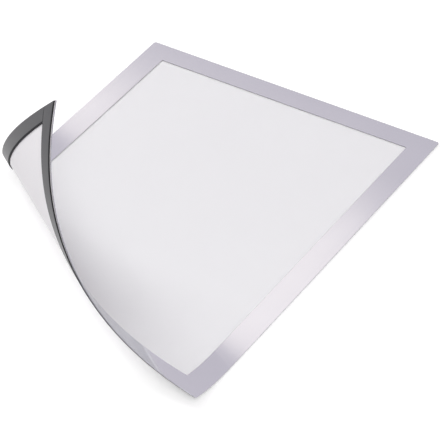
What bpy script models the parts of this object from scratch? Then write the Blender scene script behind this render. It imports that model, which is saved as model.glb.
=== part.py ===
"""A self-adhesive magnetic sign frame for one A4 sheet, with a lower corner curled up.

The frame is a laminate in two leaves: a rear panel that sticks to the wall, and a cover
that opens about its top edge. Each sheet is drawn flat, cut along the rulings of a cone
and bent about them, so that all the layers stay parallel round the curl.

Metres, +Z up. The wall is the plane z = 0, and the origin is the middle of the top strip.
"""

import math

import bmesh
import bpy
from mathutils import Matrix, Vector

# The sheet that the frame holds
sheetWidth = 0.210
sheetHeight = 0.297
sheetThickness = 0.0001

# Outline: how far the frame reaches past the sheet, and its rounded corners
sheetMargin = 0.013
cornerRadius = 0.0015
cornerSteps = 3

# Border, magnetic strips and adhesive tapes. The rear strips reach in as far as the sheet,
# and on the two sides the tape leaves more of the strip's inner edge bare
borderWidth = 0.017
stripInset = 0.0003
tapeInset = 0.0002
sideTapeInset = 0.0015
seamGap = 0.00015

# Thickness of each layer, and the air that is left between two layers
tapeThickness = 0.00006
rearStripThickness = 0.00062
rearFilmThickness = 0.00007
windowFilmThickness = 0.00007
frontStripThickness = 0.00036
foilThickness = 0.00005
layerGap = 0.00003

# Hinge film, which stands across the top edge and joins the two leaves
hingeFilmThickness = 0.0001
hingeFilmGap = 0.00005
hingeEndInset = 0.004

# Curl: its rulings fan out from an apex, placed by distance and direction from the corner
apexDistance = 0.4132
apexDirection = math.radians(128.25)
curlSpan = math.radians(22.1)
curlTurn = math.radians(126)
curlSkew = 0.8
evenShare = 0.33
bendCount = 36

# A point this close to a ruling counts as on it
onRuling = 0.000002

frameWidth = sheetWidth + 2 * sheetMargin
frameHeight = sheetHeight + 2 * sheetMargin
topEdge = sheetMargin / 2
bottomEdge = topEdge - frameHeight
leftEdge = -frameWidth / 2
rightEdge = frameWidth / 2
outerBox = (leftEdge, rightEdge, bottomEdge, topEdge)

layers = (
    ("tape", tapeThickness),
    ("rearStrip", rearStripThickness),
    ("rearFilm", rearFilmThickness),
    ("sheet", sheetThickness),
    ("windowFilm", windowFilmThickness),
    ("frontStrip", frontStripThickness),
    ("foil", foilThickness),
)

# Which corners of each bar are corners of the frame: lower left, lower right, upper
# right, upper left
outerCorners = {
    "top": (False, False, True, True),
    "right": (False, False, False, False),
    "bottom": (True, True, False, False),
    "left": (False, False, False, False),
}


def clearScene():
    for item in list(bpy.data.objects):
        bpy.data.objects.remove(item, do_unlink=True)


def newCollection(name):
    collection = bpy.data.collections.new(name)
    bpy.context.scene.collection.children.link(collection)
    return collection


def linear(shade):
    """One sRGB channel, 0 to 255, as linear light."""
    share = shade / 255
    return share / 12.92 if share <= 0.04045 else ((share + 0.055) / 1.055) ** 2.4


def newMaterial(name, look):
    material = bpy.data.materials.new(name)
    material.use_nodes = True
    shader = material.node_tree.nodes["Principled BSDF"]
    colour = [linear(shade) for shade in look["colour"]]
    shader.inputs["Base Color"].default_value = (*colour, 1)
    shader.inputs["Roughness"].default_value = look["roughness"]
    shader.inputs["Metallic"].default_value = look.get("metallic", 0)
    shader.inputs["Alpha"].default_value = look.get("alpha", 1)
    return material


def stackLayers():
    """Height of each layer's lower face above the wall."""
    base = {}
    height = 0
    for name, thickness in layers:
        base[name] = height
        height += thickness + layerGap
    return base


def shrink(box, inset):
    left, right, low, high = box
    return (left + inset, right - inset, low + inset, high - inset)


def edgeBars(inset, width):
    """Boxes of four bars round the edge. The top and bottom bars run through to the corners,
    and the side bars butt between them."""
    left, right, low, high = shrink(outerBox, inset)
    sideLow = low + width + seamGap
    sideHigh = high - width - seamGap
    return {
        "top": (left, right, high - width, high),
        "right": (right - width, right, sideLow, sideHigh),
        "bottom": (left, right, low, low + width),
        "left": (left, left + width, sideLow, sideHigh),
    }


def outlineOf(box, radius, rounded=(True, True, True, True)):
    """The outline of a box, anticlockwise from its lower left, with some corners rounded."""
    left, right, low, high = box
    corners = (
        (left, low, 1, 1, 180),
        (right, low, -1, 1, 270),
        (right, high, -1, -1, 0),
        (left, high, 1, -1, 90),
    )
    points = []
    for (x, y, inwardX, inwardY, start), isRound in zip(corners, rounded):
        if not isRound or radius <= 0:
            points.append((x, y))
            continue
        centre = Vector((x + inwardX * radius, y + inwardY * radius))
        for step in range(cornerSteps + 1):
            angle = math.radians(start + 90 * step / cornerSteps)
            point = centre + radius * Vector((math.cos(angle), math.sin(angle)))
            points.append(tuple(point))
    return points


def flatMesh(name, outlines, base, thickness):
    """A flat sheet with the given outlines, the first one outside and any other a hole."""
    curve = bpy.data.curves.new(name, "CURVE")
    curve.dimensions = "2D"
    curve.fill_mode = "BOTH"
    curve.extrude = thickness / 2
    for points in outlines:
        spline = curve.splines.new("POLY")
        spline.points.add(len(points) - 1)
        for target, (x, y) in zip(spline.points, points):
            target.co = (x, y, 0, 1)
        spline.use_cyclic_u = True
    drawn = bpy.data.objects.new(name + "_outline", curve)
    bpy.context.scene.collection.objects.link(drawn)
    graph = bpy.context.evaluated_depsgraph_get()
    mesh = bpy.data.meshes.new_from_object(drawn.evaluated_get(graph))
    bpy.data.objects.remove(drawn, do_unlink=True)
    bpy.data.curves.remove(curve)
    mesh.name = name
    mesh.transform(Matrix.Translation((0, 0, base + thickness / 2)))
    return mesh


def turnAt(share):
    """How far the laminate has turned, at 0 on the first ruling and at 1 on the corner's."""
    eased = share**curlSkew
    wave = (1 - math.cos(math.pi * eased)) / 2
    return curlTurn * ((1 - evenShare) * wave + evenShare * eased)


def coneRulings():
    """The apex, the direction across each ruling towards the corner, and the placement of
    each flat strip between two rulings once it is bent."""
    corner = Vector((leftEdge, bottomEdge, 0))
    reach = Vector((math.cos(apexDirection), math.sin(apexDirection), 0))
    apex = corner + apexDistance * reach
    cornerAngle = math.atan2(corner.y - apex.y, corner.x - apex.x)
    across = []
    placements = [Matrix.Identity(4)]
    for index in range(bendCount):
        angle = cornerAngle + curlSpan * (1 - (index + 0.5) / bendCount)
        along = Vector((math.cos(angle), math.sin(angle), 0))
        across.append(Vector((along.y, -along.x, 0)))
        fold = turnAt((index + 1) / bendCount) - turnAt(index / bendCount)
        turn = Matrix.Rotation(fold, 4, -along)
        aboutApex = Matrix.Translation(apex) @ turn @ Matrix.Translation(-apex)
        placements.append(placements[-1] @ aboutApex)
    return apex, across, placements


def bentPoint(flat, apex, across, placements):
    """Where a point of the flat laminate comes to lie. On a ruling its height is set off
    along the mitre of the two strips, so that each layer keeps its distance to the next."""
    foot = Vector((flat.x, flat.y, 0))
    passed = [(foot - apex).dot(side) for side in across]
    strip = sum(distance > onRuling for distance in passed)
    placed = placements[strip] @ foot
    normal = placements[strip].to_3x3().col[2]
    if strip < len(across) and abs(passed[strip]) <= onRuling:
        after = placements[strip + 1].to_3x3().col[2]
        return placed + flat.z * (normal + after) / (1 + normal.dot(after))
    return placed + flat.z * normal


def curl(mesh, apex, across, placements):
    """Cuts a flat mesh along every ruling and bends it."""
    shape = bmesh.new()
    shape.from_mesh(mesh)
    bmesh.ops.remove_doubles(shape, verts=shape.verts, dist=onRuling)
    bmesh.ops.dissolve_limit(
        shape, angle_limit=math.radians(1), verts=shape.verts, edges=shape.edges
    )
    for side in across:
        everything = shape.verts[:] + shape.edges[:] + shape.faces[:]
        bmesh.ops.bisect_plane(
            shape, geom=everything, dist=onRuling / 2, plane_co=apex, plane_no=side
        )
    for vertex in shape.verts:
        vertex.co = bentPoint(vertex.co, apex, across, placements)
    if shape.calc_volume(signed=True) < 0:
        bmesh.ops.reverse_faces(shape, faces=shape.faces)
    shape.to_mesh(mesh)
    shape.free()


def newEmpty(name, place, parent, collection):
    empty = bpy.data.objects.new(name, None)
    collection.objects.link(empty)
    empty.parent = parent
    empty.location = place
    empty.empty_display_size = sheetMargin
    return empty


def addPiece(name, mesh, parent, look, collection):
    """Makes the mesh an object under its leaf's empty, with its origin at that empty."""
    mesh.transform(Matrix.Translation(-parent.location))
    mesh.shade_smooth()
    mesh.set_sharp_from_angle(angle=math.radians(20))
    mesh.materials.append(newMaterial(name, look))
    piece = bpy.data.objects.new(name, mesh)
    piece.parent = parent
    collection.objects.link(piece)
    return piece


def addFilm(name, base, thickness, parent, look, collection, cone):
    """A film over the whole outline of the frame."""
    mesh = flatMesh(name, [outlineOf(outerBox, cornerRadius)], base, thickness)
    curl(mesh, *cone)
    return addPiece(name, mesh, parent, look, collection)


def addBars(stem, bars, radius, base, thickness, parent, look, collection, cone):
    """Four bars round the edge, one object each."""
    for side, box in bars.items():
        name = stem + "_" + side
        outline = outlineOf(box, radius, outerCorners[side])
        mesh = flatMesh(name, [outline], base, thickness)
        curl(mesh, *cone)
        addPiece(name, mesh, parent, look, collection)


def addRearStrips(base, parent, collection, cone):
    look = {"colour": (105, 105, 109), "roughness": 0.6}
    bars = edgeBars(stripInset, sheetMargin - stripInset)
    radius = cornerRadius - stripInset
    addBars(
        "rear_strip", bars, radius, base, rearStripThickness, parent, look, collection, cone
    )


def addTapes(base, parent, collection, cone):
    look = {"colour": (112, 112, 116), "roughness": 0.5}
    bars = edgeBars(stripInset, sheetMargin - stripInset)
    for side, box in bars.items():
        left, right, low, high = shrink(box, tapeInset)
        if side == "left":
            right = box[1] - sideTapeInset
        if side == "right":
            left = box[0] + sideTapeInset
        bars[side] = (left, right, low, high)
    radius = cornerRadius - stripInset - tapeInset
    addBars(
        "adhesive_tape", bars, radius, base, tapeThickness, parent, look, collection, cone
    )


def addSheet(base, parent, collection, cone):
    """The blank sheet. Its corners are square, as paper is cut."""
    look = {"colour": (246, 246, 246), "roughness": 0.9}
    outline = outlineOf(shrink(outerBox, sheetMargin), 0)
    mesh = flatMesh("insert_sheet", [outline], base, sheetThickness)
    curl(mesh, *cone)
    addPiece("insert_sheet", mesh, parent, look, collection)


def addFrontStrips(base, parent, collection, cone):
    look = {"colour": (58, 58, 60), "roughness": 0.6}
    bars = edgeBars(stripInset, borderWidth - 2 * stripInset)
    radius = cornerRadius - stripInset
    addBars(
        "front_strip", bars, radius, base, frontStripThickness, parent, look, collection, cone
    )


def addBorderFoil(base, parent, collection, cone):
    """The silver border: one piece, with the window cut out of it."""
    look = {"colour": (192, 190, 202), "roughness": 0.35, "metallic": 0.6}
    outer = outlineOf(outerBox, cornerRadius)
    window = outlineOf(shrink(outerBox, borderWidth), 0)
    mesh = flatMesh("border_foil", [outer, window], base, foilThickness)
    curl(mesh, *cone)
    addPiece("border_foil", mesh, parent, look, collection)


def addHingeFilm(low, high, parent, collection):
    """A narrow film on edge behind the top edge, bonded to both leaves."""
    look = {"colour": (228, 228, 233), "roughness": 0.4}
    length = frameWidth - 2 * hingeEndInset
    size = Vector((length, hingeFilmThickness, high - low))
    middle = Vector((0, topEdge + hingeFilmGap + hingeFilmThickness / 2, (low + high) / 2))
    shape = bmesh.new()
    bmesh.ops.create_cube(shape, size=1)
    bmesh.ops.scale(shape, vec=size, verts=shape.verts)
    bmesh.ops.translate(shape, vec=middle, verts=shape.verts)
    mesh = bpy.data.meshes.new("hinge_film")
    shape.to_mesh(mesh)
    shape.free()
    addPiece("hinge_film", mesh, parent, look, collection)


def buildRearPanel(base, collection, cone):
    """The leaf that stays on the wall."""
    panel = newEmpty("rear_panel", (0, 0, 0), None, collection)
    whiteFilm = {"colour": (232, 232, 236), "roughness": 0.4}
    addTapes(base["tape"], panel, collection, cone)
    addRearStrips(base["rearStrip"], panel, collection, cone)
    addFilm("rear_film", base["rearFilm"], rearFilmThickness, panel, whiteFilm, collection, cone)
    addSheet(base["sheet"], panel, collection, cone)
    return panel


def buildCover(base, panel, collection, cone):
    """The leaf that opens. Its empty lies on the hinge line, in the middle of the hinge film
    and halfway between the two films that it joins."""
    hingeY = topEdge + hingeFilmGap + hingeFilmThickness / 2
    hingeZ = (base["rearFilm"] + rearFilmThickness + base["windowFilm"]) / 2
    cover = newEmpty("front_cover", (0, hingeY, hingeZ), panel, collection)
    clearFilm = {"colour": (240, 240, 244), "roughness": 0.2, "alpha": 0.35}
    windowBase = base["windowFilm"]
    addFilm("window_film", windowBase, windowFilmThickness, cover, clearFilm, collection, cone)
    addFrontStrips(base["frontStrip"], cover, collection, cone)
    addBorderFoil(base["foil"], cover, collection, cone)
    addHingeFilm(base["rearStrip"], base["foil"], cover, collection)


clearScene()
frameParts = newCollection("self_adhesive_sign_frame")
layerBase = stackLayers()
curlCone = coneRulings()
rearPanel = buildRearPanel(layerBase, frameParts, curlCone)
buildCover(layerBase, rearPanel, frameParts, curlCone)
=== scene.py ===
# Self-adhesive sign frame for one sheet. It lies on a table with its lower left corner
# curled up and over, so that the back shows there. Metres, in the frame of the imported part.
import math
import bpy
from mathutils import Matrix, Vector


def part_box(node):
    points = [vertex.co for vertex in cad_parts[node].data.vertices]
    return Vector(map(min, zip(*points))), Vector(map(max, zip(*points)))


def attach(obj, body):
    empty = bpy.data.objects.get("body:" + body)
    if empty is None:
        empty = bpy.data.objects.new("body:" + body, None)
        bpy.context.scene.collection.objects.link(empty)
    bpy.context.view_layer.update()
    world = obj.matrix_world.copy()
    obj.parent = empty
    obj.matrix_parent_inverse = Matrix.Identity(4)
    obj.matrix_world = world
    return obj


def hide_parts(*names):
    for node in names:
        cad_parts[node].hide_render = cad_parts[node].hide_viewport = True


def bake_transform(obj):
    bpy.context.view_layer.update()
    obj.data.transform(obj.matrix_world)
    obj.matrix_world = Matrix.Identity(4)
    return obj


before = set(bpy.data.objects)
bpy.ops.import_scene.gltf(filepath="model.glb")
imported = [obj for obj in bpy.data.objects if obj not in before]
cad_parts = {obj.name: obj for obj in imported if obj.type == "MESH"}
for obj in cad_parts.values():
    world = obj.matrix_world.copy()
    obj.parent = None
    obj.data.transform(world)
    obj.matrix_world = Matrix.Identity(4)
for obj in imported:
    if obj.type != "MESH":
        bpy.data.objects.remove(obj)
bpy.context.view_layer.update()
print("loaded the packed part:", len(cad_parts), "nodes")


# Camera, where the photograph was taken from

cameraValues = {
    "place": (0.8240, -1.4324, 1.1904),
    "lookAt": (0.03265, -0.14740, 0.00065),
    "lens": 232.73,
    "sensor": 36.0,
    "clipStart": 0.02,
}

bpy.ops.object.select_all(action="DESELECT")
bpy.ops.object.camera_add(location=cameraValues["place"])
camera = bpy.context.object
camera.name = "photoCamera"
towards = Vector(cameraValues["lookAt"]) - Vector(cameraValues["place"])
camera.rotation_euler = towards.to_track_quat("-Z", "Y").to_euler()
camera.data.lens = cameraValues["lens"]
camera.data.sensor_width = cameraValues["sensor"]
camera.data.clip_start = cameraValues["clipStart"]
bpy.context.scene.camera = camera
bpy.context.scene.view_settings.view_transform = "Standard"
print("camera placed")


# Colours and nodes

def linearColour(hexCode):
    channels = [int(hexCode[start:start + 2], 16) / 255 for start in (1, 3, 5)]
    bent = [c / 12.92 if c <= 0.04045 else ((c + 0.055) / 1.055) ** 2.4 for c in channels]
    return (*bent, 1.0)


def addNode(tree, kind, settings=None, links=None):
    node = tree.nodes.new(kind)
    for name, value in (settings or {}).items():
        if isinstance(name, int) or name in node.inputs:
            node.inputs[name].default_value = value
        else:
            setattr(node, name, value)
    for name, socket in (links or {}).items():
        tree.links.new(socket, node.inputs[name])
    return node


def newMaterial(name, values):
    material = bpy.data.materials.new(name)
    material.use_nodes = True
    tree = material.node_tree
    shader = tree.nodes["Principled BSDF"]
    for socket, value in values.items():
        shader.inputs[socket].default_value = value
    return material, tree, shader


def patternPlace(tree, alongSheet):
    # A curved piece carries its flat shape in its own map, one unit to the metre, so a
    # pattern follows it round the curl. A flat piece reads its place on the object.
    if alongSheet:
        return addNode(tree, "ShaderNodeUVMap", {"uv_map": "flatShape"}).outputs["UV"]
    return addNode(tree, "ShaderNodeTexCoord").outputs["Object"]


# Satin silver foil: polyester film with a vapour-deposited metal layer under a matt
# lacquer. It gives a cool lilac-grey that lights up in a broad soft band.
foilValues = {
    "silver": "#bbbbc2",
    "cloud": "#c0c0c7",
    "cloudSize": 0.035,
    "metallic": 0.85,
    "roughness": 0.098,
    "roughnessSpread": 0.02,
    "grainSize": 0.0009,  # the lacquer's grain is near 0.1 mm, drawn coarser to show
    "grainDepth": 0.000012,
    "grainStrength": 0.25,
}


def leadHeight(tree, place):
    # The real sheet starts to lift ahead of the first bend line, by about 2 mm in all. That is
    # drawn in the foil's slope alone, because only the reflection shows it. The height is the
    # distance from the fan's point times a curve over the fan's angle.
    slope, reach, end = (curlValues[name] for name in ("leadSlope", "leadReach", "leadEnd"))
    firstAngle = cornerAngle + curlValues["span"]
    fromApex = addNode(
        tree, "ShaderNodeVectorMath", {"operation": "SUBTRACT", 1: apex}, {0: place}
    )
    part = addNode(tree, "ShaderNodeSeparateXYZ", links={0: fromApex.outputs[0]})
    angle = addNode(
        tree, "ShaderNodeMath", {"operation": "ARCTAN2"},
        {0: part.outputs["Y"], 1: part.outputs["X"]},
    )
    ahead = addNode(
        tree, "ShaderNodeMapRange",
        {"From Min": firstAngle, "From Max": firstAngle + 1, "To Min": 0.0, "To Max": -1 / reach},
        {"Value": angle.outputs[0]},
    )
    fade = addNode(tree, "ShaderNodeMath", {"operation": "EXPONENT"}, {0: ahead.outputs[0]})
    inside = addNode(
        tree, "ShaderNodeMapRange", {"From Min": firstAngle, "From Max": firstAngle - end},
        {"Value": angle.outputs[0]},
    )
    square = addNode(
        tree, "ShaderNodeMath", {"operation": "MULTIPLY"},
        {0: inside.outputs[0], 1: inside.outputs[0]},
    )
    # Past the first bend line the slope falls evenly to nothing, so the height is a parabola
    ending = addNode(
        tree, "ShaderNodeMath", {"operation": "MULTIPLY_ADD", 1: -0.5},
        {0: square.outputs[0], 2: inside.outputs[0]},
    )
    endingHeight = addNode(
        tree, "ShaderNodeMath", {"operation": "MULTIPLY", 1: slope * end},
        {0: ending.outputs[0]},
    )
    rise = addNode(
        tree, "ShaderNodeMath", {"operation": "MULTIPLY_ADD", 1: slope * reach},
        {0: fade.outputs[0], 2: endingHeight.outputs[0]},
    )
    away = addNode(
        tree, "ShaderNodeVectorMath", {"operation": "LENGTH"}, {0: fromApex.outputs[0]}
    )
    height = addNode(
        tree, "ShaderNodeMath", {"operation": "MULTIPLY"},
        {0: rise.outputs[0], 1: away.outputs["Value"]},
    )
    return height.outputs[0]


def satinFoil():
    values = foilValues
    material, tree, shader = newMaterial("satinSilverFoil", {"Metallic": values["metallic"]})
    place = patternPlace(tree, True)
    cloud = addNode(
        tree, "ShaderNodeTexNoise", {"Scale": 1 / values["cloudSize"], "Detail": 2.0},
        {"Vector": place},
    )
    tint = addNode(
        tree, "ShaderNodeMix",
        {"data_type": "RGBA", 6: linearColour(values["silver"]), 7: linearColour(values["cloud"])},
        {0: cloud.outputs[0]},
    )
    tree.links.new(tint.outputs[2], shader.inputs["Base Color"])
    grain = addNode(
        tree, "ShaderNodeTexNoise", {"Scale": 1 / values["grainSize"], "Detail": 3.0},
        {"Vector": place},
    )
    sheen = addNode(
        tree, "ShaderNodeMapRange",
        {
            "To Min": values["roughness"] - values["roughnessSpread"],
            "To Max": values["roughness"] + values["roughnessSpread"],
        },
        {"Value": grain.outputs[0]},
    )
    tree.links.new(sheen.outputs[0], shader.inputs["Roughness"])
    relief = addNode(
        tree, "ShaderNodeBump",
        {"Strength": values["grainStrength"], "Distance": values["grainDepth"]},
        {"Height": grain.outputs[0]},
    )
    lead = addNode(
        tree, "ShaderNodeBump", {"Strength": 1.0, "Distance": 1.0},
        {"Height": leadHeight(tree, place), "Normal": relief.outputs[0]},
    )
    tree.links.new(lead.outputs[0], shader.inputs["Normal"])
    return material


# Calendered magnetic rubber: ferrite powder in rubber, rolled flat. Dark, matt, and
# speckled by the powder.
rubberValues = {
    "dark": "#232325",
    "speck": "#2f2f32",
    "black": "#1f1f21",
    "blackSpeck": "#2a2a2c",
    "roughness": 0.75,
    "specular": 0.22,  # the powdery skin breaks up most of the plain reflection
    "speckSize": 0.0011,  # the powder is finer than 0.05 mm, drawn coarser to show
    "darkShare": 0.42,
    "speckShare": 0.68,
    "reliefDepth": 0.00002,
    "reliefStrength": 0.4,
}


def magneticRubber(name, dark, speck):
    values = rubberValues
    material, tree, shader = newMaterial(
        name, {"Roughness": values["roughness"], "Specular IOR Level": values["specular"]}
    )
    place = patternPlace(tree, True)
    powder = addNode(
        tree, "ShaderNodeTexNoise",
        {"Scale": 1 / values["speckSize"], "Detail": 4.0, "Roughness": 0.7},
        {"Vector": place},
    )
    ramp = addNode(tree, "ShaderNodeValToRGB", links={"Fac": powder.outputs[0]})
    ramp.color_ramp.elements[0].position = values["darkShare"]
    ramp.color_ramp.elements[0].color = linearColour(dark)
    ramp.color_ramp.elements[1].position = values["speckShare"]
    ramp.color_ramp.elements[1].color = linearColour(speck)
    tree.links.new(ramp.outputs[0], shader.inputs["Base Color"])
    relief = addNode(
        tree, "ShaderNodeBump",
        {"Strength": values["reliefStrength"], "Distance": values["reliefDepth"]},
        {"Height": powder.outputs[0]},
    )
    tree.links.new(relief.outputs[0], shader.inputs["Normal"])
    return material


# Clear acrylic transfer tape pressed onto the dark strip: the rubber's grey seen through
# a smooth skin, with long faint streaks from the coating roll.
tapeValues = {
    "grey": "#38383b",
    "streak": "#404044",
    "streakWidth": 0.0016,
    "streakLength": 0.030,
    "streakDepth": 0.00001,
    "streakStrength": 0.15,
    "roughness": 0.34,
    "ior": 1.47,
    "specular": 0.35,
}


def transferTape(name, runsAcross):
    values = tapeValues
    material, tree, shader = newMaterial(
        name,
        {
            "Roughness": values["roughness"],
            "IOR": values["ior"],
            "Specular IOR Level": values["specular"],
        },
    )
    short, long = 1 / values["streakWidth"], 1 / values["streakLength"]
    stretch = addNode(
        tree, "ShaderNodeMapping",
        {"Scale": (long, short, short) if runsAcross else (short, long, short)},
        {"Vector": patternPlace(tree, True)},
    )
    streaks = addNode(
        tree, "ShaderNodeTexNoise", {"Scale": 1.0, "Detail": 2.0},
        {"Vector": stretch.outputs[0]},
    )
    tint = addNode(
        tree, "ShaderNodeMix",
        {"data_type": "RGBA", 6: linearColour(values["grey"]), 7: linearColour(values["streak"])},
        {0: streaks.outputs[0]},
    )
    tree.links.new(tint.outputs[2], shader.inputs["Base Color"])
    relief = addNode(
        tree, "ShaderNodeBump",
        {"Strength": values["streakStrength"], "Distance": values["streakDepth"]},
        {"Height": streaks.outputs[0]},
    )
    tree.links.new(relief.outputs[0], shader.inputs["Normal"])
    return material


# White calendered PVC film, satin, with the faint orange peel that the rolls leave.
filmValues = {
    "white": "#f2f0f2",
    "shade": "#eeecef",
    "peelSize": 0.0022,
    "peelDepth": 0.000015,
    "peelStrength": 0.2,
    "roughness": 0.42,
    "ior": 1.53,
}


def satinFilm(name, alongSheet):
    values = filmValues
    material, tree, shader = newMaterial(
        name, {"Roughness": values["roughness"], "IOR": values["ior"]}
    )
    peel = addNode(
        tree, "ShaderNodeTexNoise", {"Scale": 1 / values["peelSize"], "Detail": 1.0},
        {"Vector": patternPlace(tree, alongSheet)},
    )
    tint = addNode(
        tree, "ShaderNodeMix",
        {"data_type": "RGBA", 6: linearColour(values["white"]), 7: linearColour(values["shade"])},
        {0: peel.outputs[0]},
    )
    tree.links.new(tint.outputs[2], shader.inputs["Base Color"])
    relief = addNode(
        tree, "ShaderNodeBump",
        {"Strength": values["peelStrength"], "Distance": values["peelDepth"]},
        {"Height": peel.outputs[0]},
    )
    tree.links.new(relief.outputs[0], shader.inputs["Normal"])
    return material


# Clear film with an anti-glare finish: a fine etched haze that veils the sheet below it
# with a little cool grey.
windowValues = {
    "haze": "#efeef4",
    "alpha": 0.09,
    "roughness": 0.45,
    "roughnessSpread": 0.05,
    "ior": 1.49,
    "etchSize": 0.0012,  # the etch is near 0.02 mm, drawn coarser to show
}


def antiGlareFilm():
    values = windowValues
    material, tree, shader = newMaterial(
        "antiGlareFilm",
        {
            "Base Color": linearColour(values["haze"]),
            "Alpha": values["alpha"],
            "IOR": values["ior"],
        },
    )
    etch = addNode(
        tree, "ShaderNodeTexNoise", {"Scale": 1 / values["etchSize"], "Detail": 3.0},
        {"Vector": patternPlace(tree, True)},
    )
    haze = addNode(
        tree, "ShaderNodeMapRange",
        {
            "To Min": values["roughness"] - values["roughnessSpread"],
            "To Max": values["roughness"] + values["roughnessSpread"],
        },
        {"Value": etch.outputs[0]},
    )
    tree.links.new(haze.outputs[0], shader.inputs["Roughness"])
    return material


# Uncoated office paper: wood fibre pressed flat, white and dead matt, with a soft cloudy
# formation of denser and thinner patches.
paperValues = {
    "white": "#f8f8f8",
    "cloud": "#f4f4f5",
    "cloudSize": 0.006,
    "fibreSize": 0.0010,  # fibres are near 0.03 mm wide, drawn coarser to show
    "fibreDepth": 0.00002,
    "fibreStrength": 0.15,
    "roughness": 0.9,
}


def officePaper():
    values = paperValues
    material, tree, shader = newMaterial("officePaper", {"Roughness": values["roughness"]})
    place = patternPlace(tree, True)
    cloud = addNode(
        tree, "ShaderNodeTexNoise", {"Scale": 1 / values["cloudSize"], "Detail": 5.0},
        {"Vector": place},
    )
    tint = addNode(
        tree, "ShaderNodeMix",
        {"data_type": "RGBA", 6: linearColour(values["white"]), 7: linearColour(values["cloud"])},
        {0: cloud.outputs[0]},
    )
    tree.links.new(tint.outputs[2], shader.inputs["Base Color"])
    fibre = addNode(
        tree, "ShaderNodeTexNoise", {"Scale": 1 / values["fibreSize"], "Detail": 4.0},
        {"Vector": place},
    )
    relief = addNode(
        tree, "ShaderNodeBump",
        {"Strength": values["fibreStrength"], "Distance": values["fibreDepth"]},
        {"Height": fibre.outputs[0]},
    )
    tree.links.new(relief.outputs[0], shader.inputs["Normal"])
    return material


# The laminate, drawn flat and then bent

laminate = {
    "sheetWidth": 0.210,
    "sheetHeight": 0.297,
    "margin": 0.013,
    "cornerRadius": 0.0015,
    "cornerSegments": 6,
    "borderWidth": 0.017,
    "rearInset": 0.0008,  # the strips stand back from the light edge of the films
    "frontInset": 0.0003,
    "tapeInset": 0.0002,
    "sideTapeInset": 0.0015,  # bare rubber along the inner edge of the two side strips
    "lowTapeInset": 0.0011,  # and along the outer edge of the bottom strip
    "seamGap": 0.00015,
    "stripEdgeRadius": 0.00008,
    "stripEdgeSegments": 2,
    "smoothAngle": math.radians(25),
    "weldDistance": 0.000001,
    "matchDistance": 0.00001,  # how near a point has to lie to count as a corner
}

# How the corner is curled: straight lines fan out from a point beside the sheet, and the
# laminate bends a little across each of them
curlValues = {
    "apexDistance": 0.4132,
    "apexDirection": math.radians(128.25),
    "span": math.radians(22.1),
    "turn": math.radians(126),
    "skew": 0.8,
    "evenShare": 0.33,
    "leadSlope": math.radians(3.7),  # the foil's own tilt at the first bend line
    "leadReach": math.radians(3.2),  # how far ahead of it the tilt fades, round the fan
    "leadEnd": math.radians(2.8),  # how far past it the true bend has taken over
    "bends": 108,
    "onLine": 0.000002,  # a point this near a bend line is lifted along the mitre
}

frameWidth = laminate["sheetWidth"] + 2 * laminate["margin"]
frameHeight = laminate["sheetHeight"] + 2 * laminate["margin"]
topEdge = laminate["margin"] / 2
outerBox = (-frameWidth / 2, frameWidth / 2, topEdge - frameHeight, topEdge)


def turnAt(share):
    eased = share ** curlValues["skew"]
    wave = (1 - math.cos(math.pi * eased)) / 2
    even = curlValues["evenShare"]
    return curlValues["turn"] * ((1 - even) * wave + even * eased)


corner = Vector((outerBox[0], outerBox[2], 0))
apexAngle = curlValues["apexDirection"]
apex = corner + curlValues["apexDistance"] * Vector((math.cos(apexAngle), math.sin(apexAngle), 0))
cornerAngle = math.atan2(corner.y - apex.y, corner.x - apex.x)
bends = curlValues["bends"]
sides = []  # across each bend line, towards the corner
placements = [Matrix.Identity(4)]  # where the laminate lies after each bend
for index in range(bends):
    angle = cornerAngle + curlValues["span"] * (1 - (index + 0.5) / bends)
    along = Vector((math.cos(angle), math.sin(angle), 0))
    sides.append(Vector((along.y, -along.x, 0)))
    fold = turnAt((index + 1) / bends) - turnAt(index / bends)
    turn = Matrix.Rotation(fold, 4, -along)
    placements.append(
        placements[-1] @ Matrix.Translation(apex) @ turn @ Matrix.Translation(-apex)
    )


def bentPoint(flat):
    foot = Vector((flat.x, flat.y, 0))
    passed = [(foot - apex).dot(side) for side in sides]
    strip = sum(distance > curlValues["onLine"] for distance in passed)
    placed = placements[strip] @ foot
    normal = placements[strip].to_3x3().col[2]
    if strip < bends and abs(passed[strip]) <= curlValues["onLine"]:
        after = placements[strip + 1].to_3x3().col[2]
        return placed + flat.z * (normal + after) / (1 + normal.dot(after))
    return placed + flat.z * normal


def shrink(box, inset):
    left, right, low, high = box
    return (left + inset, right - inset, low + inset, high - inset)


def cutAcross(point, normal):
    bpy.ops.mesh.select_all(action="SELECT")
    bpy.ops.mesh.bisect(plane_co=point, plane_no=normal, threshold=laminate["weldDistance"])


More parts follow.
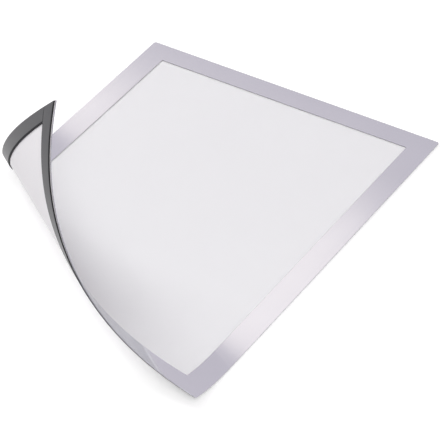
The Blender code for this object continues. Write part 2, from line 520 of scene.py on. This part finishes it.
def flatPlate(name, box, base, thickness, rounded=(), radius=0.0, window=0.0, edgeRadius=0.0):
    # rounded names the corners of the box to round: -1 is left or low, 1 is right or high
    left, right, low, high = box
    bpy.ops.object.select_all(action="DESELECT")
    middle = ((left + right) / 2, (low + high) / 2, base)
    bpy.ops.mesh.primitive_plane_add(size=1, location=middle)
    piece = bpy.context.object
    piece.name = name
    piece.data.name = name
    piece.scale = (right - left, high - low, 1)
    bpy.ops.object.transform_apply(location=True, rotation=False, scale=True)
    bpy.ops.object.mode_set(mode="EDIT")
    bpy.ops.mesh.select_mode(type="VERT")
    if window:
        for x in (left + window, right - window):
            cutAcross((x, 0, base), (1, 0, 0))
        for y in (low + window, high - window):
            cutAcross((0, y, base), (0, 1, 0))
        bpy.ops.mesh.select_all(action="DESELECT")
        bpy.ops.object.mode_set(mode="OBJECT")
        for face in piece.data.polygons:
            inX = left + window < face.center.x < right - window
            inY = low + window < face.center.y < high - window
            face.select = inX and inY
        bpy.ops.object.mode_set(mode="EDIT")
        bpy.ops.mesh.select_mode(type="FACE")
        bpy.ops.mesh.delete(type="FACE")
        bpy.ops.mesh.select_mode(type="VERT")
    if rounded:
        corners = [
            Vector((left if x < 0 else right, low if y < 0 else high, base)) for x, y in rounded
        ]
        bpy.ops.mesh.select_all(action="DESELECT")
        bpy.ops.object.mode_set(mode="OBJECT")
        for vertex in piece.data.vertices:
            vertex.select = any(
                (vertex.co - place).length < laminate["matchDistance"] for place in corners
            )
        bpy.ops.object.mode_set(mode="EDIT")
        bpy.ops.mesh.bevel(
            offset=radius, segments=laminate["cornerSegments"], affect="VERTICES",
            clamp_overlap=False,
        )
    bpy.ops.object.mode_set(mode="OBJECT")
    wall = piece.modifiers.new("thickness", "SOLIDIFY")
    wall.thickness = thickness
    wall.offset = 1
    bpy.ops.object.modifier_apply(modifier="thickness")
    if edgeRadius:
        soften = piece.modifiers.new("softEdge", "BEVEL")
        soften.width = edgeRadius
        soften.segments = laminate["stripEdgeSegments"]
        soften.limit_method = "ANGLE"
        bpy.ops.object.modifier_apply(modifier="softEdge")
    return piece


def curlPlate(piece):
    # The flat shape is kept as the piece's map before it is cut and bent
    bpy.ops.object.mode_set(mode="EDIT")
    for side in sides:
        cutAcross(apex, side)
    bpy.ops.object.mode_set(mode="OBJECT")
    mesh = piece.data
    for layer in list(mesh.uv_layers):
        mesh.uv_layers.remove(layer)
    flatMap = mesh.uv_layers.new(name="flatShape")
    for loop in mesh.loops:
        flatMap.data[loop.index].uv = mesh.vertices[loop.vertex_index].co.xy
    for vertex in mesh.vertices:
        vertex.co = bentPoint(vertex.co)
    mesh.update()
    bpy.ops.object.shade_smooth_by_angle(angle=laminate["smoothAngle"])


def finishPiece(piece, material, body, node):
    piece.data.materials.clear()
    piece.data.materials.append(material)
    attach(piece, body)
    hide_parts(node)


def edgeBars(inset, width):
    # The top and bottom bars run through to the corners, and the side bars butt between
    left, right, low, high = shrink(outerBox, inset)
    seam = laminate["seamGap"]
    return {
        "top": (left, right, high - width, high),
        "right": (right - width, right, low + width + seam, high - width - seam),
        "bottom": (left, right, low, low + width),
        "left": (left, left + width, low + width + seam, high - width - seam),
    }


def tapeOn(side, box):
    left, right, low, high = shrink(box, laminate["tapeInset"])
    if side == "left":
        right = box[1] - laminate["sideTapeInset"]
    if side == "right":
        left = box[0] + laminate["sideTapeInset"]
    if side == "bottom":
        low = box[2] + laminate["lowTapeInset"]
    return (left, right, low, high)


everyCorner = ((-1, -1), (1, -1), (1, 1), (-1, 1))
outerCorners = {
    "top": ((-1, 1), (1, 1)), "right": (), "bottom": ((-1, -1), (1, -1)), "left": (),
}


def layerOf(topNode):
    low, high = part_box(topNode)
    return low.z, high.z - low.z


# Rear leaf: tapes, dark magnets, white film and the sheet of paper

rearValues = {"filmThickness": 0.00007, "paperThickness": 0.0001}

tapeAcross = transferTape("transferTapeAcross", True)
tapeAlong = transferTape("transferTapeAlong", False)
rearRubber = magneticRubber("magneticRubber", rubberValues["dark"], rubberValues["speck"])
backing = satinFilm("whiteSatinFilm", True)
paper = officePaper()

inset = laminate["rearInset"]
rearBars = edgeBars(inset, laminate["margin"] - inset)
tapeBase, tapeThickness = layerOf("adhesive_tape_top")
stripBase, stripThickness = layerOf("rear_strip_top")
for side, corners in outerCorners.items():
    strip = flatPlate(
        "rearMagnet" + side.capitalize(), rearBars[side], stripBase, stripThickness,
        corners, laminate["cornerRadius"] - inset, 0.0, laminate["stripEdgeRadius"],
    )
    curlPlate(strip)
    finishPiece(strip, rearRubber, "rear_panel", "rear_strip_" + side)
    tapeBox = tapeOn(side, rearBars[side])
    tape = flatPlate(
        "tape" + side.capitalize(), tapeBox, tapeBase, tapeThickness,
        corners, laminate["cornerRadius"] - inset - laminate["tapeInset"],
    )
    curlPlate(tape)
    tapeLook = tapeAcross if side in ("top", "bottom") else tapeAlong
    finishPiece(tape, tapeLook, "rear_panel", "adhesive_tape_" + side)
print("magnets and tapes of the rear leaf made")

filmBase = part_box("rear_film")[0].z
backFilm = flatPlate(
    "backingFilm", outerBox, filmBase, rearValues["filmThickness"],
    everyCorner, laminate["cornerRadius"],
)
curlPlate(backFilm)
finishPiece(backFilm, backing, "rear_panel", "rear_film")

paperBox = shrink(outerBox, laminate["margin"])
sheet = flatPlate(
    "paperSheet", paperBox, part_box("insert_sheet")[0].z, rearValues["paperThickness"]
)
curlPlate(sheet)
finishPiece(sheet, paper, "rear_panel", "insert_sheet")
print("backing film and sheet made")


# Cover: window film, thin magnets, silver border and the film that hinges it

coverValues = {
    "filmThickness": 0.00007,
    "foilThickness": 0.00005,
    "rimGap": 0.000005,
    "hingeCuts": 16,
    "hingeReach": 0.0002,  # a distance above and below the hinge film's line
}


def outerRim(name, base, height, thickness):
    # The foil turned down round the cover: the side faces of a plate, thickened inward.
    # It is left selected, for the border to join.
    piece = flatPlate(name, outerBox, base, height, everyCorner, laminate["cornerRadius"])
    bpy.ops.object.mode_set(mode="EDIT")
    bpy.ops.mesh.select_mode(type="FACE")
    bpy.ops.mesh.select_all(action="DESELECT")
    bpy.ops.object.mode_set(mode="OBJECT")
    for face in piece.data.polygons:
        face.select = abs(face.normal.z) > 0.5  # the top and the bottom
    bpy.ops.object.mode_set(mode="EDIT")
    bpy.ops.mesh.delete(type="FACE")
    bpy.ops.mesh.select_mode(type="VERT")
    bpy.ops.object.mode_set(mode="OBJECT")
    wall = piece.modifiers.new("thickness", "SOLIDIFY")
    wall.thickness = thickness
    wall.offset = -1
    bpy.ops.object.modifier_apply(modifier="thickness")


windowFilm = flatPlate(
    "windowFilm", outerBox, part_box("window_film")[0].z, coverValues["filmThickness"],
    everyCorner, laminate["cornerRadius"],
)
curlPlate(windowFilm)
finishPiece(windowFilm, antiGlareFilm(), "front_cover", "window_film")

blackRubber = magneticRubber(
    "thinMagneticRubber", rubberValues["black"], rubberValues["blackSpeck"]
)
inset = laminate["frontInset"]
frontBars = edgeBars(inset, laminate["borderWidth"] - 2 * inset)
frontBase, frontThickness = layerOf("front_strip_top")
for side, corners in outerCorners.items():
    strip = flatPlate(
        "coverMagnet" + side.capitalize(), frontBars[side], frontBase, frontThickness,
        corners, laminate["cornerRadius"] - inset,
    )
    curlPlate(strip)
    finishPiece(strip, blackRubber, "front_cover", "front_strip_" + side)

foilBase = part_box("border_foil")[0].z
border = flatPlate(
    "silverBorder", outerBox, foilBase, coverValues["foilThickness"],
    everyCorner, laminate["cornerRadius"], laminate["borderWidth"],
)
outerRim(
    "foilRim", frontBase, foilBase - coverValues["rimGap"] - frontBase,
    coverValues["foilThickness"],
)
border.select_set(True)
bpy.context.view_layer.objects.active = border
bpy.ops.object.join()
curlPlate(border)
finishPiece(border, satinFoil(), "front_cover", "border_foil")
print("cover made")

hingeLow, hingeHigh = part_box("hinge_film")
bpy.ops.object.select_all(action="DESELECT")
bpy.ops.mesh.primitive_cube_add(size=1, location=(hingeLow + hingeHigh) / 2)
hinge = bpy.context.object
hinge.name = "hingeFilm"
hinge.data.name = "hingeFilm"
hinge.scale = hingeHigh - hingeLow
bpy.ops.object.transform_apply(location=True, rotation=False, scale=True)
bpy.ops.object.mode_set(mode="EDIT")
for step in range(1, coverValues["hingeCuts"]):
    share = step / coverValues["hingeCuts"]
    cutAcross((0, 0, hingeLow.z + share * (hingeHigh.z - hingeLow.z)), (0, 0, 1))
bpy.ops.object.mode_set(mode="OBJECT")
bpy.ops.object.shade_smooth_by_angle(angle=laminate["smoothAngle"])
hinge.data.materials.clear()
hinge.data.materials.append(satinFilm("satinHingeFilm", False))
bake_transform(hinge)
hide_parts("hinge_film")
print("hinge film made")


# Table, lamps and world

studio = {
    "floorSize": 14.0,
    "floorWhite": "#ededed",
    "floorRoughness": 0.9,
    "floorGlow": 0.40,
    "worldStrength": 0.42,
    "roomColour": "#fdf8ff",
    "frontPlace": (1.05, -1.35, 1.30),
    "frontPower": 20.3,
    "sidePlace": (-1.5, 0.3, 1.3),
    "sidePower": 17.6,
    "boxSize": 1.1,
    "boxColour": (0.985, 1.0, 0.97),
    "stripPlace": (-2.560, 3.783, 3.743),  # the long lamp that the border mirrors
    "stripAxis": (0.8969, 0.2208, 0.3833),
    "stripLength": 1.2,
    "stripWidth": 0.658,
    "stripPower": 2.12,
    "stripColour": (1.0, 0.95, 0.80),
    "middle": (0.0, -0.15, 0.0),
}


def areaLamp(name, place, longAxis, length, width, power, colour):
    bpy.ops.object.select_all(action="DESELECT")
    bpy.ops.object.light_add(type="AREA", location=place)
    lamp = bpy.context.object
    lamp.name = name
    lamp.data.shape = "RECTANGLE"
    lamp.data.size = length
    lamp.data.size_y = width
    lamp.data.energy = power
    lamp.data.color = colour
    back = (Vector(place) - Vector(studio["middle"])).normalized()
    axis = Vector(longAxis)
    axis = (axis - axis.dot(back) * back).normalized()
    turned = Matrix((axis, back.cross(axis), back)).transposed()
    lamp.rotation_euler = turned.to_euler()


def seenDirectly(tree, path):
    # 1 for what the camera sees itself, in a reflection or through clear film, else 0
    seen = addNode(
        tree, "ShaderNodeMath", {"operation": "MAXIMUM"},
        {0: path.outputs["Is Camera Ray"], 1: path.outputs["Is Glossy Ray"]},
    )
    seenThrough = addNode(
        tree, "ShaderNodeMath", {"operation": "MAXIMUM"},
        {0: seen.outputs[0], 1: path.outputs["Is Transmission Ray"]},
    )
    return seenThrough.outputs[0]


bpy.ops.object.select_all(action="DESELECT")
bpy.ops.mesh.primitive_plane_add(size=studio["floorSize"], location=(0, 0, 0))
floor = bpy.context.object
floor.name = "tableTop"
paleTable, tree, shader = newMaterial(
    "paleTable",
    {
        "Base Color": linearColour(studio["floorWhite"]),
        "Roughness": studio["floorRoughness"],
        "Specular IOR Level": 0.0,
    },
)
path = addNode(tree, "ShaderNodeLightPath")
glow = addNode(
    tree, "ShaderNodeMath", {"operation": "MULTIPLY", 1: studio["floorGlow"]},
    {0: seenDirectly(tree, path)},
)
shader.inputs["Emission Color"].default_value = (1, 1, 1, 1)
tree.links.new(glow.outputs[0], shader.inputs["Emission Strength"])
floor.data.materials.append(paleTable)

world = bpy.data.worlds.new("paleRoom")
bpy.context.scene.world = world
world.use_nodes = True
tree = world.node_tree
sky = tree.nodes["Background"]
path = addNode(tree, "ShaderNodeLightPath")
room = addNode(
    tree, "ShaderNodeMix",
    {"data_type": "RGBA", 6: linearColour(studio["roomColour"]), 7: (1, 1, 1, 1)},
    {0: path.outputs["Is Camera Ray"]},
)
tree.links.new(room.outputs[2], sky.inputs["Color"])
level = addNode(
    tree, "ShaderNodeMapRange", {"To Min": studio["worldStrength"], "To Max": 1.0},
    {"Value": seenDirectly(tree, path)},
)
tree.links.new(level.outputs[0], sky.inputs["Strength"])

for side, longAxis in (("front", (1, 0, 0)), ("side", (0, 1, 0))):
    areaLamp(
        side + "Box", studio[side + "Place"], longAxis, studio["boxSize"], studio["boxSize"],
        studio[side + "Power"], studio["boxColour"],
    )
areaLamp(
    "stripBox", studio["stripPlace"], studio["stripAxis"], studio["stripLength"],
    studio["stripWidth"], studio["stripPower"], studio["stripColour"],
)
print("table, lamps and world made")
